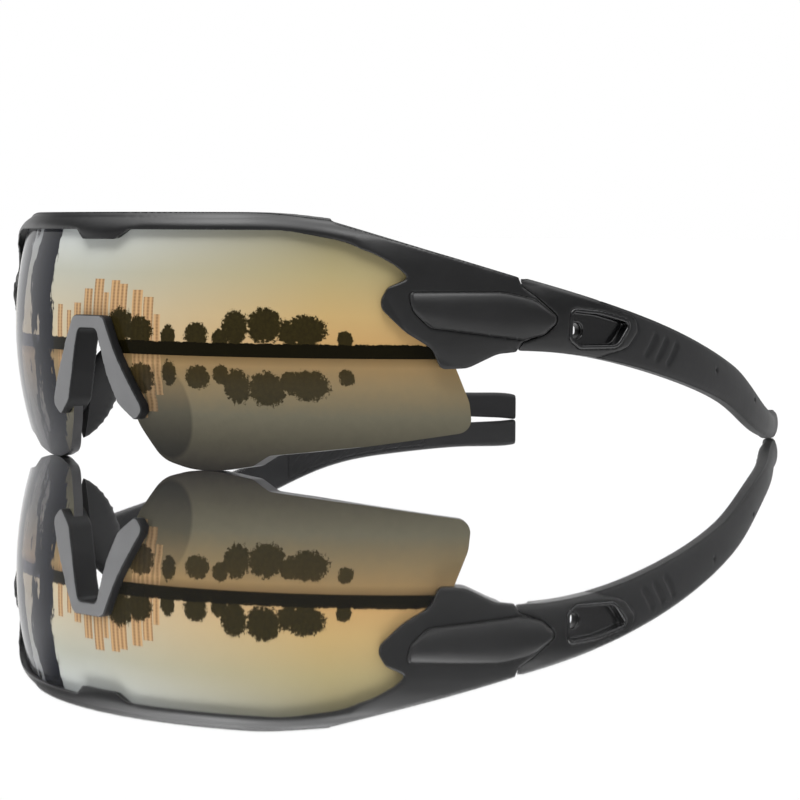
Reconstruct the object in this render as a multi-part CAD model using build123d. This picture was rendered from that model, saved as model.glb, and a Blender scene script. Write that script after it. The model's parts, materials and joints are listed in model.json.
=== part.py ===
from build123d import *
import os
from math import acos, cos, degrees, radians, sin, sqrt

# Wraparound sport sunglasses with one spherical shield lens, a half frame above it, a clip-on nose
# bridge and two folding temples with rubber sleeves. Millimetres. +X is the wearer's left, -Y is the
# front and +Z is up. The glasses stand on the lens's two lower lobes and the two temple tips, at z = 0.
# "back" is a distance behind the foremost point, which is the front of the nose bridge.

# ---- overall sizes ----
OVERALL_DEPTH = 151.2
FRONT_Y = -OVERALL_DEPTH / 2
OPEN_HIGH = 60.0
OPEN_LOW = -10.0
FAR_SIDE = 95.0

# ---- the sphere that lens, frame and bridge follow ----
SPHERE_BACK = 74.0
SPHERE_Z = 24.0
LENS_R = 72.0
LENS_THICKNESS = 2.0
GROOVE_CLEARANCE = 0.06
FRAME_R = 74.5
FRAME_INNER_R = 68.6
BRIDGE_R = 74.0
BRIDGE_INNER_R = 68.8

# ---- plan curve of the outer face: sphere, short straight, hinge bend, ear bend, straight tail ----
SIDE_ANGLE = 50.0
STRAIGHT = 11.0
BEND_R = 46.0
EAR_R = 110.0
EAR_ANGLE = 36.0
SECTION_HALF = 24.0

# ---- hinge ----
HINGE_X = 64.6
HINGE_BACK = 43.0
KNUCKLE_R = 2.3
KNUCKLE_GAP = 0.05
SWING_GAP = 0.2
LOWER_KNUCKLE = (23.0, 26.2)
UPPER_KNUCKLE = (30.0, 33.2)
SCREW_R = 0.7
SCREW_HEAD_R = 1.25
SCREW_HEAD_HEIGHT = 0.8
SCREW_SLOT = (0.35, 0.4)
BORE_CLEARANCE = 0.05
BUSH_R = 1.25
INSERT_R = 1.35
INSERT_HEIGHT = 2.4
SEAM_GAP = 0.12
SKIN = 1.9
HINGE_CLEARANCE = 2.9
KNUCKLE_REACH = 6.5
KNUCKLE_OUTER = 1.75

# ---- side trim ----
TRIM_PROUD = 0.9
TRIM_DEPTH = 0.6
TRIM_EDGE_R = 0.5
EDGE_SEEK = 0.05

# ---- temple ----
SLEEVE_SKIN = 0.9
CORE_EDGE = 1.5
CORE_END_BACK = 127.0
GRIP_DEPTH = 0.8
GRIP_PROUD = 0.15
GRIP_EDGE = 1.0
CROWN_R = 30.0
CORNER_R = 0.9

# ---- vent in each temple ----
VENT_BACK = 55.8
VENT_DEPTH = 2.2
VENT_LINER = 0.6
VENT_HOLE_R = 1.4
VENT_HOLE_OFFSET = 4.9
VENT_HOLE_Z = 25.2

# ---- nose pads ----
PAD_THICKNESS = 2.4
PAD_HALF_WIDTH = 5.6
PAD_HALF_HEIGHT = 10.2
PAD_CENTRE = (8.9, 9.3, 12.6)
PAD_NORMAL = (0.88, -0.12, 0.46)
PAD_EDGE_R = 0.8
PAD_SPHERE_R = 68.7
WIRE_R = 0.45
WIRE_LENGTH = 3.3

# ---- outlines, as (across or back, up, corner radius); the front ones are one half ----
LENS_OUTLINE = [
    (32.0, 44.2, 40.0), (48.0, 41.2, 15.0), (66.0, 29.7, 0.0), (66.0, 4.6, 0.0), (48.0, 5.1, 10.0),
    (39.0, 3.8, 20.0), (33.6, 3.1, 2.0), (30.4, 1.1, 2.5), (24.0, 0.0, 18.0), (19.0, 0.0, 15.0),
    (13.2, 1.6, 5.0), (9.6, 7.5, 10.0), (3.0, 25.6, 1.4),
]
FRAME_OUTLINE = [
    (33.0, 45.3, 60.0), (47.0, 43.4, 30.0), (51.5, 42.0, 0.0), (51.5, OPEN_HIGH, 0.0),
    (FAR_SIDE, OPEN_HIGH, 0.0), (FAR_SIDE, OPEN_LOW, 0.0), (51.5, OPEN_LOW, 0.0), (51.5, 37.9, 0.0),
    (47.2, 40.5, 12.0), (38.0, 42.5, 20.0), (7.4, 42.5, 1.5), (4.6, 40.7, 0.8),
]
BRIDGE_OUTLINE = [
    (4.3, 26.9, 1.6), (7.6, 20.0, 12.0), (12.9, 10.6, 1.6), (10.7, 8.4, 1.0), (7.0, 11.4, 3.0),
    (4.9, 16.5, 8.0), (2.6, 24.6, 1.2),
]
# lug outlines, as (along the straight from its start, up, corner radius)
LUG_OUTLINE = [
    (-60.0, OPEN_HIGH, 0.0), (-14.0, OPEN_HIGH, 0.0), (-14.0, 43.8, 0.0), (17.8, 34.4, 0.0),
    (18.6, 32.6, 0.4), (18.6, 23.3, 0.4), (17.4, 21.7, 0.0), (14.2, 21.4, 5.0), (9.0, 18.9, 4.0),
    (4.5, 18.7, 1.2), (3.0, 22.2, 3.0), (-1.6, 25.0, 6.0), (-6.4, 29.6, 2.2), (-4.6, 32.6, 1.6),
    (-0.9, 34.2, 0.6), (-3.4, 36.5, 5.0), (-7.6, 38.8, 10.0), (-14.0, 40.2, 0.0),
    (-14.0, OPEN_LOW, 0.0), (-60.0, OPEN_LOW, 0.0),
]
# all that is behind and below the lens's rear edge, which is cut square to the lens's face
BEHIND_OUTLINE = [
    (3.6, OPEN_HIGH, 0.0), (4.7, 35.2, 20.0), (5.9, 22.0, 8.0), (9.75, 12.8, 6.0), (10.4, 7.7, 2.4),
    (-20.0, 3.3, 0.0), (-20.0, OPEN_LOW, 0.0), (40.0, OPEN_LOW, 0.0), (40.0, OPEN_HIGH, 0.0),
]
# all that is ahead of the seam, which the temple leaves to the lug
AHEAD_OUTLINE = [
    (-60.0, OPEN_HIGH, 0.0), (17.0, OPEN_HIGH, 0.0), (17.8, 34.4, 0.0), (18.6, 32.6, 0.4),
    (18.6, 23.3, 0.4), (17.4, 21.7, 0.0), (16.8, OPEN_LOW, 0.0), (-60.0, OPEN_LOW, 0.0),
]
TONGUE_OUTLINE = [
    (14.0, 32.6, 0.0), (18.7, 32.6, 0.3), (21.2, 30.8, 1.5), (25.2, 27.2, 1.3), (22.6, 24.8, 2.0),
    (19.2, 23.6, 0.5), (14.0, 23.3, 0.0),
]
TRIM_OUTLINE = [
    (-1.2, 31.9, 0.8), (15.2, 31.9, 12.0), (20.6, 30.7, 2.5), (24.9, 27.2, 1.2), (22.4, 24.7, 2.5),
    (18.6, 23.8, 2.0), (2.6, 25.8, 2.0), (-0.4, 28.6, 2.5),
]
SLEEVE_OUTLINE = [
    (54.6, 40.0, 0.0), (54.6, 30.8, 1.0), (56.6, 29.2, 2.0), (62.6, 27.6, 1.2), (63.9, 25.4, 1.5),
    (60.8, 22.0, 3.0), (57.0, 21.2, 2.0), (51.0, 19.4, 0.0), (51.0, OPEN_LOW, 0.0),
    (165.0, OPEN_LOW, 0.0), (165.0, 40.0, 0.0),
]
# the vent, as (along the temple from its middle, up, corner radius)
VENT_OUTLINE = [
    (-6.7, 28.6, 0.8), (-1.0, 28.0, 8.0), (5.6, 26.4, 0.6), (2.6, 22.7, 2.0), (-5.2, 22.7, 1.0),
    (-7.0, 24.0, 1.0),
]

# temple stations: back, bottom, top, thickness and height of the crest of the outer face
STATIONS = [
    (34.0, 21.6, 36.6, 5.0, 24.0), (44.5, 21.7, 33.4, 4.9, 24.5), (55.0, 20.4, 30.4, 4.5, 25.0),
    (65.5, 18.4, 27.6, 4.1, 23.0), (76.0, 16.0, 24.7, 3.7, 20.3), (86.5, 13.4, 21.5, 3.5, 17.5),
    (97.0, 10.3, 18.1, 3.3, 14.2), (107.0, 6.6, 14.0, 3.2, 10.3), (116.5, 4.0, 10.0, 3.2, 7.0),
    (125.5, 2.6, 7.9, 3.2, 5.3), (134.2, 1.5, 6.7, 3.2, 4.1), (142.8, 0.7, 6.0, 3.1, 3.4),
    (151.2, 0.0, 5.5, 3.0, 2.8),
]
SEAM_CREST_R = 74.5

SLOT_BACKS = (67.0, 70.1, 73.3)
SLOT_HEIGHT = 5.2
SLOT_WIDTH = 1.5
SLOT_DEPTH = 0.35
SLOT_LEAN = 38.0
DIMPLES = ((88.6, 17.3), (107.9, 10.9))
DIMPLE_R = 0.45
DIMPLE_DEPTH = 0.5

CENTRE = Vector(0, FRONT_Y + SPHERE_BACK, SPHERE_Z)
UP = Vector(0, 0, 1)


def y_at(back):
    return FRONT_Y + back


def heading(angle):
    """Unit vector along the outer face; angle 0 runs along +X and 90 along +Y."""
    return Vector(cos(radians(angle)), sin(radians(angle)), 0)


def outward(angle):
    return Vector(sin(radians(angle)), -cos(radians(angle)), 0)


SIDE_START = Vector(CENTRE.X, CENTRE.Y, 0) + outward(SIDE_ANGLE) * FRAME_R
BEND_START = SIDE_START + heading(SIDE_ANGLE) * STRAIGHT
BEND_CENTRE = BEND_START - outward(SIDE_ANGLE) * BEND_R
EAR_START = BEND_CENTRE + Vector(BEND_R, 0, 0)
EAR_CENTRE = EAR_START - Vector(EAR_R, 0, 0)
TAIL_START = EAR_CENTRE + outward(90 + EAR_ANGLE) * EAR_R


def face_station(back):
    """Point on the plan curve of the outer face, and the curve's heading there, behind the shield."""
    y = y_at(back)
    if y < BEND_START.Y:
        run = (y - SIDE_START.Y) / sin(radians(SIDE_ANGLE))
        return SIDE_START + heading(SIDE_ANGLE) * run, SIDE_ANGLE
    if y < EAR_START.Y:
        angle = degrees(acos((BEND_CENTRE.Y - y) / BEND_R))
        return BEND_CENTRE + outward(angle) * BEND_R, angle
    if y < TAIL_START.Y:
        angle = degrees(acos((EAR_CENTRE.Y - y) / EAR_R))
        return EAR_CENTRE + outward(angle) * EAR_R, angle
    angle = 90 + EAR_ANGLE
    return TAIL_START + heading(angle) * ((y - TAIL_START.Y) / sin(radians(angle))), angle


def section_plane(point, angle):
    """Plane across the wall: local x points outward and local y points up."""
    return Plane(origin=point, x_dir=outward(angle), z_dir=-heading(angle))


def outline_face(points):
    corners = [(a, b) for a, b, _ in points]
    radii = [r for _, _, r in points]
    return make_face(FilletPolyline(*corners, radius=radii, close=True))


def whole_outline(half):
    """Both halves of a front outline, from the half at +X."""
    return half + [(-x, z, r) for x, z, r in reversed(half)]


def front_prism(half, grow=0.0):
    face = outline_face(whole_outline(half))
    if grow:
        face = offset(face, grow)
    return extrude(Plane((0, CENTRE.Y, 0), x_dir=(1, 0, 0), z_dir=(0, -1, 0)) * face, 90)


def side_prism(outline):
    """Prism along +X through the left side, from an outline given as back and up."""
    face = outline_face([(y_at(back), z, r) for back, z, r in outline])
    return extrude(Plane((0, 0, 0), x_dir=(0, 1, 0), z_dir=(1, 0, 0)) * face, FAR_SIDE)


def lug_prism(outline, grow=0.0):
    """Prism square to the straight of the left lug, from an outline given as along and up."""
    inward = 60.0
    face = outline_face(outline)
    if grow:
        face = offset(face, grow)
    start = SIDE_START - outward(SIDE_ANGLE) * inward
    plane = Plane(origin=start, x_dir=heading(SIDE_ANGLE), z_dir=outward(SIDE_ANGLE))
    return extrude(plane * face, inward + FAR_SIDE)


def wall_section(angle, centre, inner_r, outer_r):
    ring = Circle(outer_r) - Circle(inner_r)
    window = Pos((inner_r + outer_r) / 2, 0) * Rectangle(outer_r, 2 * SECTION_HALF)
    return section_plane(centre, angle) * (ring & window)


def side_wall(inner_r, outer_r, start_angle=0.0, bend=24.0):
    """Wall of the left side between two radii: part of the sphere, the straight and the hinge bend."""
    first = wall_section(start_angle, CENTRE, inner_r, outer_r)
    last = wall_section(SIDE_ANGLE, CENTRE, inner_r, outer_r)
    sphere_part = revolve(first, Axis(CENTRE, UP), SIDE_ANGLE - start_angle)
    straight_part = extrude(last, amount=STRAIGHT, dir=heading(SIDE_ANGLE))
    turned = Pos(heading(SIDE_ANGLE) * STRAIGHT) * last
    bend_part = revolve(turned, Axis(BEND_CENTRE, UP), bend)
    return sphere_part + straight_part + bend_part


def shell(inner_r, outer_r):
    return Pos(CENTRE) * (Sphere(outer_r) - Sphere(inner_r))


def mirrored(shape):
    return mirror(shape, Plane.YZ)


def upright(radius, low, high, x=HINGE_X, back=HINGE_BACK):
    align = (Align.CENTER, Align.CENTER, Align.MIN)
    return Pos(x, y_at(back), low) * Cylinder(radius, high - low, align=align)


def station_wire(station, depth=0.0, edge=0.0, thickness=None):
    """Closed section of the temple, with a crowned outer face and rounded corners."""
    back, low, high, full, crest = station
    thickness = full - 2 * depth if thickness is None else thickness
    low = low + edge
    high = high - edge
    crown = SEAM_CREST_R if crest == SPHERE_Z else CROWN_R

    def skin(z):
        return -depth - crown + sqrt(crown ** 2 - (z - crest) ** 2)

    inner = -depth - thickness
    middle = (low + high) / 2
    outline = Line((inner, low), (skin(low), low))
    outline += ThreePointArc((skin(low), low), (skin(middle), middle), (skin(high), high))
    outline += Line((skin(high), high), (inner, high))
    outline += Line((inner, high), (inner, low))
    face = make_face(outline)
    face = fillet(face.vertices(), min(CORNER_R, 0.4 * thickness))
    point, angle = face_station(back)
    return section_plane(point, angle) * face


def temple_blank():
    return loft([station_wire(s) for s in STATIONS])


def temple_core():
    """Hard tongue that runs on inside the rubber sleeve."""
    inside = [s for s in STATIONS if 50 < s[0] < CORE_END_BACK]
    return loft([station_wire(s, depth=SLEEVE_SKIN, edge=CORE_EDGE) for s in inside])


def tip_grip():
    """Soft strip let into the inner face of the temple's tail."""
    inside = [s for s in STATIONS if 105 < s[0] < 140]
    wires = []
    for s in inside:
        wires.append(station_wire(s, depth=s[3] - GRIP_DEPTH, edge=GRIP_EDGE,
                                  thickness=GRIP_DEPTH + GRIP_PROUD))
    return loft(wires)


def hinge_plane(height=0.0):
    """Level plane at the hinge axis: local x points outward and local y along the temple."""
    _, angle = face_station(HINGE_BACK - 2.5)
    return Plane(origin=(HINGE_X, y_at(HINGE_BACK), height), x_dir=outward(angle), z_dir=(0, 0, 1))


def hinge_block(across, along, low, high):
    """Block at the hinge, between two limits outward and two along the temple."""
    size = (across[1] - across[0], along[1] - along[0])
    middle = (sum(across) / 2, sum(along) / 2)
    return extrude(hinge_plane(low) * (Pos(*middle) * Rectangle(*size)), high - low)


def knuckle(low, high):
    """Lug knuckle with the arm that joins it to the lug's wall."""
    arm = hinge_block((-KNUCKLE_R, KNUCKLE_OUTER), (-KNUCKLE_REACH, 0), low, high)
    return upright(KNUCKLE_R, low, high) + arm


def lens_space(grow=0.0):
    """The lens's own shape, grown all round by a clearance."""
    spread = shell(LENS_R - LENS_THICKNESS - grow, LENS_R + grow)
    behind = lug_prism(BEHIND_OUTLINE, -grow)
    return (spread & front_prism(LENS_OUTLINE, grow)) - behind - mirrored(behind)


def make_lug_wall():
    """Left half of the frame's wall: brow, lug, and the thin tongue under the trim's nose."""
    lug = lug_prism(LUG_OUTLINE)
    skin = side_wall(FRAME_R - SKIN, FRAME_R) & (lug + lug_prism(TONGUE_OUTLINE))
    deep = side_wall(FRAME_INNER_R, FRAME_R - SKIN) & lug
    deep -= upright(HINGE_CLEARANCE, 0, OPEN_HIGH)
    deep -= hinge_block((-8, 4), (0 - HINGE_CLEARANCE, 10), 0, OPEN_HIGH)
    return skin + deep


def make_front_frame(trim, insert, screw):
    wall = make_lug_wall() & front_prism(FRAME_OUTLINE)
    left = wall + knuckle(*LOWER_KNUCKLE) + knuckle(*UPPER_KNUCKLE)
    left -= upright(SCREW_R + BORE_CLEARANCE, UPPER_KNUCKLE[0], UPPER_KNUCKLE[1])
    left -= trim
    left -= insert
    left -= screw
    frame = left + mirrored(left)
    return frame - lens_space(GROOVE_CLEARANCE)


def make_side_trim():
    top = FRAME_R + TRIM_PROUD
    trim = side_wall(FRAME_R - TRIM_DEPTH, top, start_angle=40.0) & lug_prism(TRIM_OUTLINE)
    skin = side_wall(top - EDGE_SEEK, top + EDGE_SEEK, start_angle=40.0)
    rim = [edge for edge in trim.edges() if skin.is_inside(edge @ 0.5, tolerance=1e-3)]
    return fillet(rim, TRIM_EDGE_R)


def make_screw():
    top = UPPER_KNUCKLE[1]
    low = LOWER_KNUCKLE[0] + 0.4
    screw = upright(SCREW_R, low, top) + upright(SCREW_HEAD_R, top - SCREW_HEAD_HEIGHT, top)
    width, depth = SCREW_SLOT
    slot = Pos(HINGE_X, y_at(HINGE_BACK), top - depth / 2)
    return screw - slot * Box(width, 2 * SCREW_HEAD_R + 1, depth)


def make_insert():
    low = LOWER_KNUCKLE[0] + 0.4
    return upright(INSERT_R, low, low + INSERT_HEIGHT) - upright(SCREW_R, low - 1, low + INSERT_HEIGHT + 1)


def make_bush():
    low = LOWER_KNUCKLE[1] + KNUCKLE_GAP
    high = UPPER_KNUCKLE[0] - KNUCKLE_GAP
    return upright(BUSH_R, low, high) - upright(SCREW_R + BORE_CLEARANCE, low - 1, high + 1)


def make_bridge():
    saddle = shell(BRIDGE_INNER_R, BRIDGE_R) & front_prism(BRIDGE_OUTLINE)
    return saddle - lens_space(GROOVE_CLEARANCE / 2)


def pad_plane():
    x, back, z = PAD_CENTRE
    return Plane(origin=(x, y_at(back), z), x_dir=(0.13, 0.99, 0.0), z_dir=PAD_NORMAL)


def make_pad_wire():
    """Short bendable wire from the bridge's leg into the pad."""
    x, back, z = PAD_CENTRE
    start = Vector(8.3, y_at(back) - WIRE_LENGTH, z + 1.0)
    end = Vector(x, y_at(back), z)
    run = end - start
    align = (Align.CENTER, Align.CENTER, Align.MIN)
    return Plane(origin=start, z_dir=run) * Cylinder(WIRE_R, run.length, align=align)


def make_pad(wire):
    leaf = extrude(pad_plane() * Ellipse(PAD_HALF_WIDTH, PAD_HALF_HEIGHT), PAD_THICKNESS / 2, both=True)
    leaf = fillet(leaf.edges(), PAD_EDGE_R)
    leaf &= Pos(CENTRE) * Sphere(PAD_SPHERE_R)
    return leaf - wire


def vent_plane():
    point, angle = face_station(VENT_BACK)
    return Plane(origin=point, x_dir=heading(angle), z_dir=outward(angle))


def vent_prism(depth, grow=0.0):
    """Pocket through the outer face down to a flat floor."""
    proud = 3.0
    face = outline_face(VENT_OUTLINE)
    if grow:
        face = offset(face, grow)
    plane = vent_plane().offset(-depth)
    return extrude(plane * face, depth + proud)


def vent_hole():
    plane = vent_plane() * Pos(-VENT_HOLE_OFFSET, VENT_HOLE_Z, 0)
    return plane * Cylinder(VENT_HOLE_R, 20)


def make_vent_liner(blank):
    liner = vent_prism(VENT_DEPTH + VENT_LINER, VENT_LINER) - vent_prism(VENT_DEPTH)
    return (liner & blank) - vent_hole()


def make_temple_arm(blank, core, liner, bush):
    arm = (blank - side_prism(SLEEVE_OUTLINE)) + core
    skin_zone = side_wall(FRAME_R - SKIN - SEAM_GAP, FRAME_R + 4.0, start_angle=40.0, bend=30.0)
    taken = lug_prism(AHEAD_OUTLINE, SEAM_GAP) + lug_prism(TONGUE_OUTLINE, SEAM_GAP)
    arm -= skin_zone & taken
    arm -= hinge_block((-8, FRAME_R), (-20, 0), 0, OPEN_HIGH) - skin_zone
    low = LOWER_KNUCKLE[1] + KNUCKLE_GAP
    high = UPPER_KNUCKLE[0] - KNUCKLE_GAP
    clear_r = KNUCKLE_R + SWING_GAP
    arm -= upright(clear_r, 0, low)
    arm -= upright(clear_r, high, OPEN_HIGH)
    arm += hinge_block((-KNUCKLE_R, KNUCKLE_OUTER), (0, 4.5), low, high)
    arm += upright(KNUCKLE_R, low, high)
    arm -= bush
    arm -= upright(SCREW_R + BORE_CLEARANCE, low, high)
    arm -= vent_prism(VENT_DEPTH)
    arm -= liner
    return arm - vent_hole()


def slot_cutter(back):
    point, angle = face_station(back)
    z_mid = 22.4 - (back - SLOT_BACKS[0]) * 0.27
    plane = Plane(origin=point + UP * z_mid, x_dir=heading(angle), z_dir=outward(angle))
    shape = Rot(0, 0, -SLOT_LEAN) * RectangleRounded(SLOT_WIDTH, SLOT_HEIGHT, 0.6)
    return extrude(plane.offset(-SLOT_DEPTH) * shape, 3.0)


def dimple_cutter(back, z):
    point, angle = face_station(back)
    plane = Plane(origin=point + UP * z, z_dir=outward(angle))
    return plane * Cylinder(DIMPLE_R, 2 * DIMPLE_DEPTH)


def make_sleeve(blank, core, grip):
    sleeve = (blank & side_prism(SLEEVE_OUTLINE)) - core - grip
    for back in SLOT_BACKS:
        sleeve -= slot_cutter(back)
    for back, z in DIMPLES:
        sleeve -= dimple_cutter(back, z)
    return sleeve


def build():
    blank = temple_blank()
    core = temple_core()
    grip = tip_grip()
    screw = make_screw()
    insert = make_insert()
    bush = make_bush()
    trim = make_side_trim()
    liner = make_vent_liner(blank)
    wire = make_pad_wire()
    parts = {
        "lens": lens_space(),
        "front_frame": make_front_frame(trim, insert, screw),
        "nose_bridge": make_bridge() - wire - mirrored(wire),
    }
    left = {
        "nose_pad": make_pad(wire),
        "pad_wire": wire,
        "side_trim": trim,
        "hinge_screw": screw,
        "hinge_insert": insert,
        "hinge_bush": bush,
        "temple_arm": make_temple_arm(blank, core, liner, bush),
        "vent_liner": liner,
        "temple_sleeve": make_sleeve(blank, core, grip),
        "tip_grip": grip,
    }
    for name, shape in left.items():
        parts["left_" + name] = shape
        parts["right_" + name] = mirrored(shape)
    return parts


os.makedirs("parts", exist_ok=True)
for node, shape in build().items():
    export_step(shape, f"parts/{node}.step")
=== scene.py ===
import json
from math import atan2, cos, floor, pi, radians, sin, sqrt

import bmesh
import bpy
from mathutils import Matrix, Vector


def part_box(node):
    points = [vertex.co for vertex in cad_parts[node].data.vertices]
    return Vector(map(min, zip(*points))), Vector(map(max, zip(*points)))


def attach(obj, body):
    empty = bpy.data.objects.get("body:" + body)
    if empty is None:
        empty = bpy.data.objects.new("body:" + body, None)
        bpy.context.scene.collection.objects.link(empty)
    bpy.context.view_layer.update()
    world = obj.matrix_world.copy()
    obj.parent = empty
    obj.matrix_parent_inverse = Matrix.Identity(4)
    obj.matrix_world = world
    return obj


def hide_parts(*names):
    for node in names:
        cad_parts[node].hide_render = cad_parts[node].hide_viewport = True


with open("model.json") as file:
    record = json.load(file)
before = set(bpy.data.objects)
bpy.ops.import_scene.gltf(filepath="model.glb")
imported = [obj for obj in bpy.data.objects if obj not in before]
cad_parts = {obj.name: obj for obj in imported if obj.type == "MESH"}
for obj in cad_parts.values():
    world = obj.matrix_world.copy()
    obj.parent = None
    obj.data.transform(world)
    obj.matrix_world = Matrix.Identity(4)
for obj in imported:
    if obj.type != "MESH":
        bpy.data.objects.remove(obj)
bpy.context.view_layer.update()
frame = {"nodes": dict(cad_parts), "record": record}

# Wraparound sport sunglasses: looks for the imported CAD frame. Metres, +Z up, -Y front, +X wearer's left.

MM = 0.001
SIDES = ("left", "right")
SLOT = {row["node"]: row["material_slot"] for row in frame["record"]["subparts"]}
BODY = {node: body for body, nodes in frame["record"]["behaviour"]["bodies"].items() for node in nodes}

# the lens is a piece of a sphere, and the front's other pieces follow it
LENS_RADIUS = 72.0 * MM
LENS_CENTRE = Vector((0.0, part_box("lens")[0].y + LENS_RADIUS, 24.0 * MM))


# ---------------------------------------------------------------- node helpers
def opaque(colour):
    """A plain colour with its alpha; a socket stays as it is."""
    return (*colour, 1.0) if isinstance(colour, tuple) else colour


class Nodes:
    """Adds and joins nodes in one shader tree."""

    def __init__(self, tree):
        self.tree = tree

    def add(self, kind, **values):
        """A new node; each value is a setting of the node or, failing that, of its input of that name."""
        node = self.tree.nodes.new(kind)
        for key, value in values.items():
            if hasattr(node, key):
                setattr(node, key, value)
            else:
                node.inputs[key.replace("_", " ")].default_value = value
        return node

    def join(self, source, target):
        self.tree.links.new(source, target)

    def feed(self, target, value):
        """Joins a socket to an input, or sets the input to a plain value."""
        if isinstance(value, bpy.types.NodeSocket):
            self.join(value, target)
        else:
            target.default_value = value

    def noise(self, vector, scale, detail=3.0, roughness=0.5):
        node = self.add("ShaderNodeTexNoise", Scale=scale, Detail=detail, Roughness=roughness)
        self.join(vector, node.inputs["Vector"])
        return node.outputs["Fac"]

    def math(self, operation, *values, clamp=False):
        node = self.add("ShaderNodeMath", operation=operation, use_clamp=clamp)
        for slot, value in zip(node.inputs, values):
            self.feed(slot, value)
        return node.outputs[0]

    def vector(self, operation, a, b=None):
        """Vector maths, which gives a number for a dot product."""
        node = self.add("ShaderNodeVectorMath", operation=operation)
        self.feed(node.inputs[0], a)
        if b is not None:
            self.feed(node.inputs["Scale" if operation == "SCALE" else 1], b)
        return node.outputs["Value" if operation == "DOT_PRODUCT" else "Vector"]

    def stretch(self, vector, scale):
        node = self.add("ShaderNodeMapping", Scale=scale)
        self.join(vector, node.inputs["Vector"])
        return node.outputs["Vector"]

    def separate(self, vector):
        node = self.add("ShaderNodeSeparateXYZ")
        self.join(vector, node.inputs[0])
        return node.outputs

    def ramp(self, factor, stops):
        node = self.add("ShaderNodeValToRGB")
        elements = node.color_ramp.elements
        while len(elements) < len(stops):
            elements.new(0.5)
        for element, (place, colour) in zip(elements, stops):
            element.position = place
            element.color = opaque(colour)
        self.join(factor, node.inputs["Fac"])
        return node.outputs["Color"]

    def mix(self, factor, a, b):
        """Mixes two colours: inputs 0, 6 and 7 and output 2 are the node's colour mode."""
        node = self.add("ShaderNodeMix", data_type="RGBA")
        self.feed(node.inputs[0], factor)
        self.feed(node.inputs[6], opaque(a))
        self.feed(node.inputs[7], opaque(b))
        return node.outputs[2]

    def mix_shaders(self, factor, a, b):
        node = self.add("ShaderNodeMixShader")
        for slot, source in zip(node.inputs, (factor, a, b)):
            self.join(source, slot)
        return node.outputs[0]


class Material(Nodes):
    """A new material's nodes, around its Principled shader."""

    def __init__(self, name):
        self.material = bpy.data.materials.new(name)
        self.material.use_nodes = True
        super().__init__(self.material.node_tree)
        self.shader = self.tree.nodes["Principled BSDF"]

    def object_position(self):
        return self.add("ShaderNodeTexCoord").outputs["Object"]

    def set(self, **values):
        """Each value or socket goes to the shader's input of that name."""
        for key, value in values.items():
            self.feed(self.shader.inputs[key.replace("_", " ")], value)

    def bump(self, height, strength, distance):
        node = self.add("ShaderNodeBump", Strength=strength, Distance=distance)
        self.join(height, node.inputs["Height"])
        self.set(Normal=node.outputs["Normal"])


# ---------------------------------------------------------------- materials
def toned(colour, times, plus):
    """A colour made paler or darker."""
    return tuple(min(1.0, c * times + plus) for c in colour)


def moulded_plastic(name, colour, roughness, grain_scale, grain_depth, gloss=0.38):
    """Spark-textured moulded plastic: mottled roughness, fine grain and slightly paler edges, which are a
    painted highlight.
    """
    n = Material(name)
    place = n.object_position()
    cloud = n.noise(place, 90.0, 4.0, 0.6)
    tone = n.mix(n.math("MULTIPLY", cloud, 0.6), colour, toned(colour, 1.7, 0.002))
    pointiness = n.add("ShaderNodeNewGeometry").outputs["Pointiness"]
    # painted highlight: edges that stand out (high pointiness) are given a paler colour
    painted_edge_highlight = n.math("MULTIPLY", n.math("SUBTRACT", pointiness, 0.51), 9.0, clamp=True)
    painted_edge_highlight = n.math("MULTIPLY", painted_edge_highlight, 0.45)
    n.set(Base_Color=n.mix(painted_edge_highlight, tone, toned(colour, 2.2, 0.05)))
    n.set(Roughness=n.math("MULTIPLY_ADD", cloud, 0.16, roughness - 0.08))
    n.bump(n.noise(place, grain_scale, 2.0, 0.7), 0.35, grain_depth)
    n.set(IOR=1.5, Specular_IOR_Level=gloss)
    return n.material


def rubber(name, colour, roughness):
    """Matt rubber with a dusty bloom and a very fine grain."""
    n = Material(name)
    place = n.object_position()
    cloud = n.noise(place, 140.0, 5.0, 0.65)
    n.set(Base_Color=n.mix(n.math("MULTIPLY", cloud, 0.7), colour, toned(colour, 1.9, 0.002)))
    n.set(Roughness=n.math("MULTIPLY_ADD", cloud, 0.2, roughness - 0.1))
    n.bump(n.noise(place, 2600.0, 2.0, 0.6), 0.5, 0.00004)
    n.set(IOR=1.45, Specular_IOR_Level=0.25, Sheen_Weight=0.04, Sheen_Roughness=0.4)
    return n.material


def bridge_nylon():
    """Bridge: matt grey where the face looks away from the lens's centre, near-black elsewhere, which is
    partly its black body and partly painted shade on the sides and rims that turn aside.
    """
    n = Material("bridge_nylon")
    place = n.object_position()
    outward = n.vector("NORMALIZE", n.vector("SUBTRACT", place, LENS_CENTRE))
    facing = n.vector("DOT_PRODUCT", outward, n.add("ShaderNodeNewGeometry").outputs["Normal"])
    cloud = n.noise(place, 160.0, 4.0, 0.6)
    face = n.mix(cloud, (0.120, 0.121, 0.124), (0.170, 0.171, 0.174))
    # painted shade: where the surface turns away from the outward direction, the grey gives way to
    # near-black
    unshaded_face = n.math("MULTIPLY", n.math("SUBTRACT", facing, 0.80), 7.0, clamp=True)
    n.set(Base_Color=n.mix(unshaded_face, (0.004, 0.004, 0.0045), face))
    n.set(Roughness=n.math("MULTIPLY_ADD", cloud, 0.15, 0.45))
    n.bump(n.noise(place, 2200.0, 2.0, 0.7), 0.35, 0.00003)
    n.set(IOR=1.5, Specular_IOR_Level=0.28)
    return n.material


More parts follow.
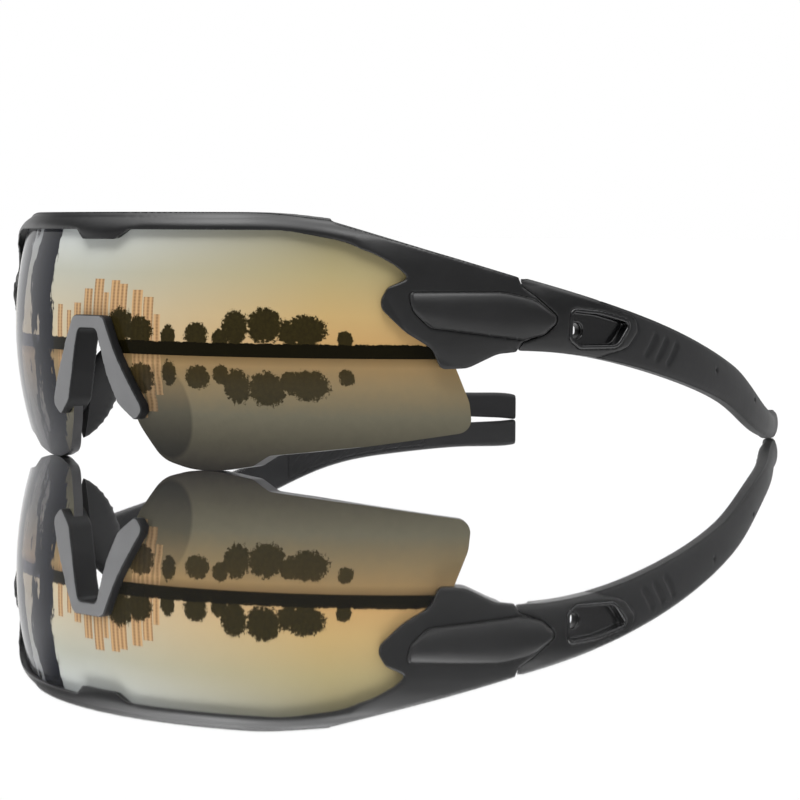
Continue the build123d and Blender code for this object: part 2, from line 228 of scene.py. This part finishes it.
def metal(name, colour, roughness):
    """Machined metal with fine lines along its upright axis."""
    n = Material(name)
    lines = n.noise(n.stretch(n.object_position(), (1.0, 1.0, 0.05)), 2500.0, 3.0, 0.6)
    n.set(Base_Color=n.mix(lines, toned(colour, 0.7, 0.0), colour))
    n.set(Roughness=n.math("MULTIPLY_ADD", lines, 0.2, roughness - 0.1))
    n.bump(lines, 0.3, 0.00002)
    n.set(Metallic=1.0)
    return n.material


def tinted_inside():
    """Inner face of the lens: dark smoke tint behind the mirror coat."""
    n = Material("lens_inside")
    cloud = n.noise(n.object_position(), 60.0)
    n.set(Base_Color=n.mix(cloud, (0.030, 0.027, 0.026), (0.060, 0.054, 0.050)))
    n.set(Roughness=0.12, IOR=1.59, Coat_Weight=0.4, Coat_Roughness=0.04)
    return n.material


def lens_rim():
    """Cut edge of the lens."""
    n = Material("lens_rim")
    cloud = n.noise(n.object_position(), 700.0)
    n.set(Base_Color=n.mix(cloud, (0.012, 0.012, 0.014), (0.035, 0.033, 0.035)))
    n.set(Roughness=0.3, IOR=1.59)
    return n.material


def make_materials():
    """One material for each of the record's slots, except the lens's."""
    return {
        "frame_nylon": moulded_plastic("frame_nylon", (0.0045, 0.0045, 0.0048), 0.36, 1900.0, 0.00003),
        "trim_nylon": moulded_plastic("trim_nylon", (0.0060, 0.0060, 0.0063), 0.40, 2300.0, 0.00003, 0.34),
        "bridge_nylon": bridge_nylon(),
        "vent_gloss": moulded_plastic("vent_gloss", (0.003, 0.003, 0.0035), 0.16, 700.0, 0.00001, 0.5),
        "sleeve_rubber": rubber("sleeve_rubber", (0.0065, 0.0065, 0.0070), 0.62),
        "soft_rubber": rubber("soft_rubber", (0.0045, 0.0045, 0.0050), 0.55),
        "steel": metal("steel", (0.60, 0.60, 0.61), 0.32),
        "brass": metal("brass", (0.72, 0.52, 0.22), 0.34),
    }


# ---------------------------------------------------------------- the reflection painted into the mirror coat
# a painted reflection of an evening lakeside: heights and places on the lens in millimetres
SHORE_Z = 20.3
BANK_Z = 22.7
SKY_HEIGHT = 24.0
# colours from the shore up, at the wearer's right and left
SKY_RIGHT_SIDE = [
    (0.00, (0.50, 0.40, 0.25)), (0.30, (0.43, 0.375, 0.27)),
    (0.60, (0.36, 0.36, 0.30)), (1.00, (0.47, 0.50, 0.51)),
]
SKY_LEFT_SIDE = [
    (0.00, (0.45, 0.265, 0.105)), (0.30, (0.43, 0.30, 0.130)),
    (0.60, (0.33, 0.275, 0.140)), (1.00, (0.20, 0.195, 0.130)),
]
# colours from the lens's foot up to the shore
WATER = [
    (0.00, (0.032, 0.029, 0.026)), (0.25, (0.070, 0.064, 0.046)), (0.50, (0.120, 0.110, 0.076)),
    (0.75, (0.200, 0.150, 0.080)), (1.00, (0.270, 0.175, 0.078)),
]
# tree crowns: across, up, half width, half height
CROWNS = (
    (6.6, 25.2, 3.3, 3.2), (11.2, 24.4, 3.0, 2.6), (17.6, 23.4, 1.5, 2.2), (23.2, 24.0, 2.2, 2.1),
    (27.6, 23.4, 1.4, 1.7), (30.2, 25.4, 2.2, 2.9), (35.1, 25.8, 2.9, 3.0), (38.9, 24.6, 1.6, 2.0),
    (41.4, 25.0, 2.9, 2.6), (46.8, 23.6, 1.0, 1.4),
)
# towers: middle, half width, top
TOWERS = (
    (-11.6, 0.9, 28.6), (-8.4, 0.7, 27.6), (-5.6, 1.1, 29.0), (-2.4, 1.2, 31.6), (0.6, 1.3, 33.4),
    (2.7, 0.7, 31.0), (5.0, 1.1, 33.2), (7.1, 1.0, 32.6), (10.6, 1.2, 31.6), (13.2, 1.1, 30.4),
    (15.2, 0.7, 27.4),
)
# dark ragged shapes at the wearer's right: middle, half width
DARK_BANDS = ((-19.5, 4.2), (-35.0, 5.5), (-50.0, 4.0))
# shadow low beside the nose: across, up, half width, half height
LOW_SPOT = (15.2, 10.4, 6.3, 8.8)


def largest(n, masks):
    """The masks' union."""
    whole, *others = masks
    for mask in others:
        whole = n.math("MAXIMUM", whole, mask)
    return whole


def from_middle(n, across, up, oval):
    """Squared distance from an oval's middle, which is 1 on its edge."""
    middle, height, wide, tall = oval
    dx = n.math("POWER", n.math("MULTIPLY", n.math("SUBTRACT", across, middle), 1.0 / wide), 2.0)
    dz = n.math("POWER", n.math("MULTIPLY", n.math("SUBTRACT", up, height), 1.0 / tall), 2.0)
    return n.math("ADD", dx, dz)


def sky_and_water(n, x, z, over, ripple):
    """Sky that warms towards the wearer's left, over brown water."""
    sky_share = n.math("MULTIPLY", n.math("SUBTRACT", z, SHORE_Z), 1.0 / SKY_HEIGHT)
    leftward = n.math("MULTIPLY_ADD", x, 1.0 / 45.0, 0.02, clamp=True)
    sky = n.mix(leftward, n.ramp(sky_share, SKY_RIGHT_SIDE), n.ramp(sky_share, SKY_LEFT_SIDE))
    water_share = n.math("MULTIPLY_ADD", ripple, 0.10, n.math("MULTIPLY", z, 1.0 / SHORE_Z))
    return n.mix(over, n.ramp(water_share, WATER), sky)


def with_towers(n, painted_reflection, sideways, level, over):
    """Towers with rows of windows."""
    masks = []
    for middle, half, top in TOWERS:
        inside = n.math("LESS_THAN", n.math("ABSOLUTE", n.math("SUBTRACT", sideways, middle)), half)
        masks.append(n.math("MULTIPLY", inside, n.math("LESS_THAN", level, top)))
    floors = n.math("PINGPONG", n.math("MULTIPLY", level, 3.4), 1.0)
    bays = n.math("PINGPONG", n.math("MULTIPLY", sideways, 1.9), 1.0)
    windows = n.math("MULTIPLY", bays, n.math("MULTIPLY_ADD", floors, 0.35, 0.65))
    wall = n.mix(windows, (0.50, 0.31, 0.15), (0.17, 0.095, 0.045))
    strength = n.math("MULTIPLY_ADD", over, 0.27, 0.70)
    return n.mix(n.math("MULTIPLY", largest(n, masks), strength), painted_reflection, wall)


def with_trees(n, painted_reflection, sideways, level, over, leaves):
    """Dark tree crowns with ragged edges."""
    masks = []
    for crown_oval in CROWNS:
        size = n.math("MULTIPLY_ADD", leaves, 2.6, from_middle(n, sideways, level, crown_oval))
        masks.append(n.math("MULTIPLY", n.math("SUBTRACT", 1.15, size), 5.0, clamp=True))
    foliage = n.mix(n.math("ADD", leaves, 0.5), (0.002, 0.002, 0.001), (0.034, 0.026, 0.006))
    strength = n.math("MULTIPLY_ADD", over, 0.07, 0.92)
    return n.mix(n.math("MULTIPLY", largest(n, masks), strength), painted_reflection, foliage)


def with_bank(n, painted_reflection, z, height, over, leaves):
    """The bank: a dark strip right across, with a ragged top and a soft shade below."""
    ragged = n.math("MULTIPLY_ADD", leaves, 1.2, BANK_Z)
    strip = n.math("MULTIPLY", over, n.math("LESS_THAN", z, ragged))
    shade = n.math("MULTIPLY", n.math("SUBTRACT", 1.6, height), 0.5, clamp=True)
    bank = n.math("MAXIMUM", strip, n.math("MULTIPLY", shade, 0.55))
    return n.mix(bank, painted_reflection, (0.005, 0.004, 0.001))


def with_dark_side(n, painted_reflection, place, x, leaves):
    """Dark upright shapes on a greyed part of the painted reflection towards the wearer's right."""
    stretched = n.stretch(place, (1.0, 1.0, 0.30))
    drift = n.math("SUBTRACT", n.noise(stretched, 0.16, 4.0, 0.6), 0.5)
    masks = []
    for middle, half in DARK_BANDS:
        sway = n.math("MULTIPLY_ADD", leaves, 3.0, n.math("SUBTRACT", x, middle))
        sway = n.math("ABSOLUTE", n.math("MULTIPLY_ADD", drift, 26.0, sway))
        masks.append(n.math("MULTIPLY", n.math("SUBTRACT", half, sway), 1.4, clamp=True))
    dark = largest(n, masks)
    navy = n.mix(n.math("ADD", leaves, 0.5), (0.001, 0.001, 0.003), (0.006, 0.008, 0.015))
    painted_reflection = n.mix(dark, painted_reflection, navy)
    grey_side = n.math("MULTIPLY", n.math("SUBTRACT", -15.0, x), 0.22, clamp=True)
    lilac = n.mix(0.55, painted_reflection, (0.060, 0.059, 0.082))
    return n.mix(grey_side, painted_reflection, n.mix(dark, lilac, navy))


def with_low_spot(n, painted_reflection, x, z):
    """A shadow low beside the nose, deepest at its foot."""
    spot = n.math("SUBTRACT", 1.0, from_middle(n, x, z, LOW_SPOT))
    spot = n.math("MULTIPLY", spot, 6.0, clamp=True)
    strength = n.math("MULTIPLY_ADD", z, -0.035, 0.80)
    return n.mix(n.math("MULTIPLY", spot, strength), painted_reflection, (0.012, 0.012, 0.012))


def coat_with_painted_reflection():
    """Mirror coat with a painted reflection of a lakeside at dusk in its colour: pale sky, towers and
    trees, and brown water.
    """
    n = Material("lens_coat_painted_reflection")
    place = n.vector("SCALE", n.object_position(), 1.0 / MM)
    x, _, z = n.separate(place)
    leaves = n.math("SUBTRACT", n.noise(place, 1.4, 5.0, 0.75), 0.5)
    ripple = n.math("SUBTRACT", n.noise(place, 0.5, 3.0, 0.6), 0.5)
    over = n.math("GREATER_THAN", z, SHORE_Z)
    # the shore scene and its image in the water share one height above the shore
    height = n.math("ABSOLUTE", n.math("SUBTRACT", z, SHORE_Z))
    level = n.math("ADD", height, SHORE_Z)
    wobble = n.math("MULTIPLY", ripple, n.math("MULTIPLY_ADD", over, -0.8, 0.8))
    sideways = n.math("ADD", x, wobble)

    # the lakeside built up below is a painted reflection, one layer at a time
    painted_reflection = sky_and_water(n, x, z, over, ripple)
    painted_reflection = with_towers(n, painted_reflection, sideways, level, over)
    painted_reflection = with_trees(n, painted_reflection, sideways, level, over, leaves)
    painted_reflection = with_bank(n, painted_reflection, z, height, over, leaves)
    painted_reflection = with_dark_side(n, painted_reflection, place, x, leaves)
    painted_reflection = with_low_spot(n, painted_reflection, x, z)
    # painted reflection: the lakeside scene is the coat's base colour and is not mirrored from the room
    n.set(Base_Color=painted_reflection)
    n.set(Roughness=n.math("MULTIPLY_ADD", n.noise(place, 0.08, 2.0), 0.06, 0.10))
    n.set(Metallic=0.05, Specular_IOR_Level=0.05, Coat_Weight=0.05, Coat_Roughness=0.02, IOR=1.59)
    return n.material


# ---------------------------------------------------------------- camera
CAMERA_PLACE = Vector((0.3896, -0.3786, 0.0418))
CAMERA_AZIMUTH = radians(45.61)
CAMERA_PITCH = radians(-3.465)
CAMERA_ROLL = radians(0.37)
CAMERA_LENS = 123.75
CAMERA_SENSOR = 36.0


def make_camera():
    data = bpy.data.cameras.new("camera")
    data.sensor_width = CAMERA_SENSOR
    data.lens = CAMERA_LENS
    data.clip_start = 0.01
    data.clip_end = 100.0
    camera = bpy.data.objects.new("camera", data)
    bpy.context.scene.collection.objects.link(camera)
    level = cos(CAMERA_PITCH)
    forward = Vector((-sin(CAMERA_AZIMUTH) * level, cos(CAMERA_AZIMUTH) * level, sin(CAMERA_PITCH)))
    right = Vector((cos(CAMERA_AZIMUTH), sin(CAMERA_AZIMUTH), 0.0))
    up = right.cross(forward)
    right = right * cos(CAMERA_ROLL) + up * sin(CAMERA_ROLL)
    turn = Matrix((right, right.cross(forward), -forward)).transposed().to_4x4()
    camera.matrix_world = Matrix.Translation(CAMERA_PLACE) @ turn
    bpy.context.scene.camera = camera


# ---------------------------------------------------------------- floor and light
FLOOR_HALF = 30.0
# the floor lies a hair under the glasses, so that nothing flickers where they touch it
FLOOR_DROP = 0.00002
# share of the floor's polish by how low the line of sight is: matt white from above, a mirror when low
FLOOR_POLISH = ((0.0, 0.03), (0.73, 0.12), (0.79, 0.995), (1.0, 0.995))

# brightness of the room by the sine of the elevation: pale horizon, dark walls, bright ceiling
ROOM = ((0.00, 0.36), (0.22, 0.36), (0.32, 0.03), (0.58, 0.03), (0.76, 0.90), (1.00, 1.00))
CEILING = 2.8
# the sine of the elevation above which the room is equally bright all round
CEILING_START = 0.45
# below the ceiling, the room is brightest towards the backdrop behind the glasses
BACKDROP = (-0.714, 0.700, 0.0)
FRONT_LEVEL = 0.40

# lamps: name, place, power
LAMPS = (("left_front", (0.42, -0.42, 0.95), 4.0), ("right_front", (-0.35, -0.50, 0.95), 3.5))
LAMP_SIZE = 0.40
LAMP_AIM = Vector((0.0, 0.0, 0.02))


def greys(stops):
    return [(place, (level,) * 3) for place, level in stops]


def make_floor():
    """Pale polished acrylic: matt white from above and a clear mirror at a low angle."""
    mesh = bpy.data.meshes.new("floor")
    corners = [(x * FLOOR_HALF, y * FLOOR_HALF, 0) for x, y in ((-1, -1), (1, -1), (1, 1), (-1, 1))]
    mesh.from_pydata(corners, [], [(0, 1, 2, 3)])
    floor_object = bpy.data.objects.new("floor", mesh)
    bpy.context.scene.collection.objects.link(floor_object)
    floor_object.location.z = -FLOOR_DROP
    n = Material("floor_gloss")
    n.set(Base_Color=(0.86, 0.86, 0.86, 1.0), Roughness=0.6)
    polish = n.add("ShaderNodeBsdfGlossy", Roughness=0.015, Color=(1.0, 1.0, 1.0, 1.0))
    facing = n.add("ShaderNodeLayerWeight", Blend=0.5).outputs["Facing"]
    both = n.mix_shaders(n.ramp(facing, greys(FLOOR_POLISH)), n.shader.outputs[0], polish.outputs[0])
    n.join(both, n.tree.nodes["Material Output"].inputs["Surface"])
    mesh.materials.append(n.material)


def make_room():
    """Plain white where the camera looks; the light comes from a broad soft ceiling and a pale backdrop."""
    world = bpy.data.worlds.new("studio")
    world.use_nodes = True
    n = Nodes(world.node_tree)
    white = n.tree.nodes["Background"]
    white.inputs["Color"].default_value = (1.0, 1.0, 1.0, 1.0)
    room = n.add("ShaderNodeBackground", Strength=CEILING)
    direction = n.add("ShaderNodeTexCoord").outputs["Generated"]
    up = n.separate(direction)["Z"]
    towards = n.vector("DOT_PRODUCT", direction, BACKDROP)
    fade = n.add("ShaderNodeMapRange", From_Min=-0.1, From_Max=0.7, To_Min=FRONT_LEVEL, To_Max=1.0)
    n.join(towards, fade.inputs["Value"])
    level = n.math("MAXIMUM", fade.outputs["Result"], n.math("GREATER_THAN", up, CEILING_START))
    n.join(n.vector("SCALE", n.ramp(up, greys(ROOM)), level), room.inputs["Color"])
    seen = n.add("ShaderNodeLightPath").outputs["Is Camera Ray"]
    both = n.mix_shaders(seen, room.outputs[0], white.outputs[0])
    n.join(both, n.tree.nodes["World Output"].inputs["Surface"])
    bpy.context.scene.world = world
    bpy.context.scene.view_settings.view_transform = "Standard"


def make_lamps():
    for name, place, power in LAMPS:
        data = bpy.data.lights.new(name, "AREA")
        data.size = LAMP_SIZE
        data.energy = power
        lamp = bpy.data.objects.new(name, data)
        lamp.location = place
        lamp.rotation_euler = (LAMP_AIM - Vector(place)).to_track_quat("-Z", "Y").to_euler()
        bpy.context.scene.collection.objects.link(lamp)


# ---------------------------------------------------------------- pieces
# makes up for what smoothing takes off
MOULD_GROW = 0.05 * MM
# node ending, voxel size in mm, smoothing rounds
ROUNDED_FRONT = (("front_frame", 0.26, 3), ("nose_bridge", 0.22, 6))
ROUNDED_SIDES = (
    ("temple_arm", 0.24, 3), ("temple_sleeve", 0.26, 5), ("side_trim", 0.20, 6), ("vent_liner", 0.16, 3),
)
# how far the top and bottom edges of each outer face fall back, in mm
CROWNED = {"front_frame": 0.35, "side_trim": 0.55, "temple_arm": 0.35, "temple_sleeve": 0.45}


def dress(piece, node):
    """Gives a finished piece its node's body, and puts it in the node's place."""
    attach(piece, BODY[node])
    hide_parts(node)
    return piece


def new_piece(name, mesh, node, materials):
    """A smooth-shaded piece in place of a CAD node, with that node's body and material."""
    piece = bpy.data.objects.new(name, mesh)
    bpy.context.scene.collection.objects.link(piece)
    mesh.materials.clear()
    mesh.materials.append(materials[SLOT[node]])
    for polygon in mesh.polygons:
        polygon.use_smooth = True
    return dress(piece, node)


def dress_cad(materials):
    """Gives each CAD node's object its slot's material."""
    for node, slot in SLOT.items():
        if slot not in materials:
            continue
        cad_object = frame["nodes"][node]
        if not cad_object.material_slots:
            cad_object.data.materials.append(materials[slot])
        for material_slot in cad_object.material_slots:
            material_slot.material = materials[slot]


def softened(node, voxel, rounds):
    """Copy of a CAD node's mesh with every edge rounded, as moulding leaves it."""
    work = bpy.data.objects.new("work", frame["nodes"][node].data.copy())
    bpy.context.scene.collection.objects.link(work)
    remesh = work.modifiers.new("remesh", "REMESH")
    remesh.mode = "VOXEL"
    remesh.voxel_size = voxel
    smooth = work.modifiers.new("smooth", "SMOOTH")
    smooth.factor = 0.5
    smooth.iterations = rounds
    grow = work.modifiers.new("grow", "DISPLACE")
    grow.mid_level = 0.0
    grow.strength = MOULD_GROW
    depsgraph = bpy.context.evaluated_depsgraph_get()
    depsgraph.update()
    mesh = bpy.data.meshes.new_from_object(work.evaluated_get(depsgraph))
    bpy.data.objects.remove(work)
    return mesh


# ---- the frame's lip over the lens, and its brow ----
FEATHER_R = 72.2 * MM
# the lip is thinned fully up to the first angle from straight ahead, and not at all past the second
FEATHER_ANGLES = (radians(44.0), radians(57.0))
BROW_PROUD = 0.62
# how far the top edge rolls back, over which height, where the lip stands fully proud
BROW_ROLL = 1.2 * MM
BROW_START = 40.6 * MM
BROW_RISE = 4.4 * MM
FULL_PROUD = 2.3 * MM


def feather(mesh):
    """Thins the frame's lip ahead of the lugs and rolls the brow's top edge back."""
    first, last = FEATHER_ANGLES
    for vertex in mesh.vertices:
        out = vertex.co - LENS_CENTRE
        proud = out.length - FEATHER_R
        if proud <= 0:
            continue
        angle = abs(atan2(out.x, -out.y))
        share = min(1.0, max(0.0, (angle - first) / (last - first)))
        share = share * share * (3.0 - 2.0 * share)
        keep = BROW_PROUD + (1.0 - BROW_PROUD) * share
        rise = min(1.0, max(0.0, (vertex.co.z - BROW_START) / BROW_RISE))
        roll = BROW_ROLL * rise * rise * (1.0 - share) * min(1.0, proud / FULL_PROUD)
        vertex.co = LENS_CENTRE + out * ((FEATHER_R + proud * keep - roll) / out.length)


# ---- the bulge of the outer faces, worked out in narrow upright sectors around the lens's centre ----
SECTOR = radians(0.8)
SPREAD = 4
LEAST_HALF_HEIGHT = 1.0 * MM


def smoothed_spans(spans):
    """Each sector's bottom and top, averaged with its neighbours'."""
    soft = {}
    for sector in spans:
        near = [spans[k] for k in range(sector - SPREAD, sector + SPREAD + 1) if k in spans]
        soft[sector] = [sum(values) / len(near) for values in zip(*near)]
    return soft


def crown(mesh, depth):
    """Bulges the outer face between its top and bottom edges, so that it catches light from above."""
    rows = []
    spans = {}
    for vertex in mesh.vertices:
        out = vertex.co - LENS_CENTRE
        normal = vertex.normal.copy()
        facing = normal.dot(Vector((out.x, out.y, 0.0)).normalized())
        place = atan2(out.x, -out.y) / SECTOR
        rows.append((vertex, facing, place, Vector((normal.x, normal.y, 0.0)).normalized()))
        if facing > 0.6:
            bottom, top = spans.get(round(place), (vertex.co.z, vertex.co.z))
            spans[round(place)] = (min(bottom, vertex.co.z), max(top, vertex.co.z))
    soft = smoothed_spans(spans)
    for vertex, facing, place, outward in rows:
        before = floor(place)
        if before not in soft or before + 1 not in soft or facing < 0.1:
            continue
        along = place - before
        bottom, top = (a + (b - a) * along for a, b in zip(soft[before], soft[before + 1]))
        half = max(LEAST_HALF_HEIGHT, (top - bottom) / 2)
        share = min(1.0, abs(vertex.co.z - (bottom + top) / 2) / half)
        weight = min(1.0, (facing - 0.1) / 0.4)
        vertex.co -= outward * (depth * weight * share ** 2.2)


def make_rounded(materials):
    """Moulded pieces with softly rounded edges in place of the sharp CAD ones."""
    jobs = [(ending, *job) for ending, *job in ROUNDED_FRONT]
    jobs += [(f"{side}_{ending}", *job) for side in SIDES for ending, *job in ROUNDED_SIDES]
    for node, voxel, rounds in jobs:
        mesh = softened(node, voxel * MM, rounds)
        if node == "front_frame" or node.endswith("side_trim"):
            feather(mesh)
        for ending, depth in CROWNED.items():
            if node.endswith(ending):
                crown(mesh, depth * MM)
        new_piece(node + "_moulded", mesh, node, materials)


# ---- anti-slip strips on the tails ----
GRIP_PITCH = 2.3 * MM
GRIP_SLANT = 0.9
GRIP_GROOVE = 0.30 * MM
GRIP_VOXEL = 0.20 * MM


def make_tip_grips(materials):
    """Soft strips with slanting anti-slip grooves on the inner face of each tail."""
    for side in SIDES:
        node = side + "_tip_grip"
        mesh = softened(node, GRIP_VOXEL, 4)
        inner = -1.0 if side == "left" else 1.0
        moved = []
        for vertex in mesh.vertices:
            phase = (vertex.co.y + GRIP_SLANT * vertex.co.z) / GRIP_PITCH
            groove = max(0.0, cos(2 * pi * phase)) ** 3
            depth = GRIP_GROOVE * groove * max(0.0, vertex.normal.x * inner) ** 2
            moved.append(vertex.co - vertex.normal * depth)
        for vertex, place in zip(mesh.vertices, moved):
            vertex.co = place
        piece = new_piece(node + "_grooved", mesh, node, materials)


# ---- nose pads ----
PAD_RINGS = 26
PAD_TURNS = 120
PAD_HALF_WIDTH = 5.6 * MM
PAD_HALF_HEIGHT = 10.2 * MM
PAD_HALF_THICKNESS = 1.2 * MM
# the left pad's middle, across from the nose's middle, behind the bridge's front and up
PAD_ACROSS = 8.9 * MM
PAD_BEHIND = 9.3 * MM
PAD_UP = 12.6 * MM
PAD_NORMAL = Vector((0.88, -0.12, 0.46)).normalized()
PAD_REARWARD = Vector((0.13, 0.99, 0.0))
PAD_RIB_PITCH = 1.7 * MM
PAD_RIB_HEIGHT = 0.28 * MM
# the pads stay inside the bridge's sphere
PAD_LIMIT = 68.65 * MM
WELD = 0.00002


def pad_point(ring, turn, face):
    """A point on the pad in its own plane: across, along and off the middle."""
    share = ring / PAD_RINGS
    angle = 2 * pi * turn / PAD_TURNS
    leaf = 1.0 - 0.16 * sin(angle) * cos(angle) ** 2
    across = PAD_HALF_WIDTH * share * cos(angle) * leaf
    along = PAD_HALF_HEIGHT * share * sin(angle)
    dome = sqrt(max(0.0, 1.0 - share ** 3.2))
    rear = max(0.0, cos(angle)) * max(0.0, (share - 0.45) / 0.55)
    rib = max(0.0, cos(2 * pi * (along + 0.35 * across) / PAD_RIB_PITCH)) ** 2
    off = face * (PAD_HALF_THICKNESS * dome + PAD_RIB_HEIGHT * rib * rear * dome)
    across += PAD_RIB_HEIGHT * rib * rear * share
    return across, along, off


def pad_places(sign):
    """Both faces' rings of points, for the left pad with a sign of 1 or the right one with -1."""
    middle = Vector((PAD_ACROSS * sign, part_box("nose_bridge")[0].y + PAD_BEHIND, PAD_UP))
    normal = Vector((PAD_NORMAL.x * sign, PAD_NORMAL.y, PAD_NORMAL.z))
    rearward = Vector((PAD_REARWARD.x * sign, PAD_REARWARD.y, PAD_REARWARD.z))
    rearward = (rearward - normal * rearward.dot(normal)).normalized()
    up = rearward.cross(normal)
    if up.z < 0:
        up = -up
    places = []
    for face in (1.0, -1.0):
        for ring in range(PAD_RINGS + 1):
            for turn in range(PAD_TURNS):
                across, along, off = pad_point(ring, turn, face)
                place = middle + rearward * across + up * along + normal * off
                out = place - LENS_CENTRE
                if out.length > PAD_LIMIT:
                    place = LENS_CENTRE + out.normalized() * PAD_LIMIT
                places.append(place)
    return places


def pad_faces():
    """Quads between the rings; the second layer's run the other way round."""
    faces = []
    for layer in range(2):
        for ring in range(PAD_RINGS):
            a = (layer * (PAD_RINGS + 1) + ring) * PAD_TURNS
            b = a + PAD_TURNS
            for turn in range(PAD_TURNS):
                after = (turn + 1) % PAD_TURNS
                quad = (a + turn, b + turn, b + after, a + after)
                faces.append(quad if layer == 0 else quad[::-1])
    return faces


def make_nose_pads(materials):
    """Leaf-shaped silicone pads: crowned both sides, ribbed towards the rear edge."""
    for side, sign in zip(SIDES, (1.0, -1.0)):
        node = side + "_nose_pad"
        mesh = bpy.data.meshes.new(node)
        mesh.from_pydata(pad_places(sign), [], pad_faces())
        work = bmesh.new()
        work.from_mesh(mesh)
        bmesh.ops.remove_doubles(work, verts=work.verts, dist=WELD)
        bmesh.ops.recalc_face_normals(work, faces=work.faces)
        work.to_mesh(mesh)
        work.free()
        piece = new_piece(node + "_silicone", mesh, node, materials)


# ---- lens ----
COAT, INSIDE, RIM = range(3)


def lens_face_kind(polygon):
    """Outer face, inner face or cut edge, by how the polygon looks from the sphere's centre."""
    facing = polygon.normal.dot((polygon.center - LENS_CENTRE).normalized())
    if abs(facing) < 0.6:
        return RIM
    return COAT if facing > 0 else INSIDE


def make_lens():
    """Lens with exact sphere normals: CAD mesh cut into outer face, inner face and rim."""
    mesh = frame["nodes"]["lens"].data.copy()
    piece = bpy.data.objects.new("shield_lens", mesh)
    bpy.context.scene.collection.objects.link(piece)
    mesh.materials.clear()
    for material in (coat_with_painted_reflection(), tinted_inside(), lens_rim()):
        mesh.materials.append(material)
    normals = []
    for polygon in mesh.polygons:
        polygon.material_index = lens_face_kind(polygon)
        polygon.use_smooth = True
    for polygon in mesh.polygons:
        for corner in polygon.loop_indices:
            point = mesh.vertices[mesh.loops[corner].vertex_index].co
            out = (point - LENS_CENTRE).normalized()
            normals.append({COAT: out, INSIDE: -out, RIM: polygon.normal}[polygon.material_index])
    mesh.normals_split_custom_set(normals)
    dress(piece, "lens")


# ---------------------------------------------------------------- build
def main():
    make_camera()
    make_floor()
    make_room()
    make_lamps()
    materials = make_materials()
    dress_cad(materials)
    make_lens()
    make_rounded(materials)
    make_tip_grips(materials)
    make_nose_pads(materials)


main()
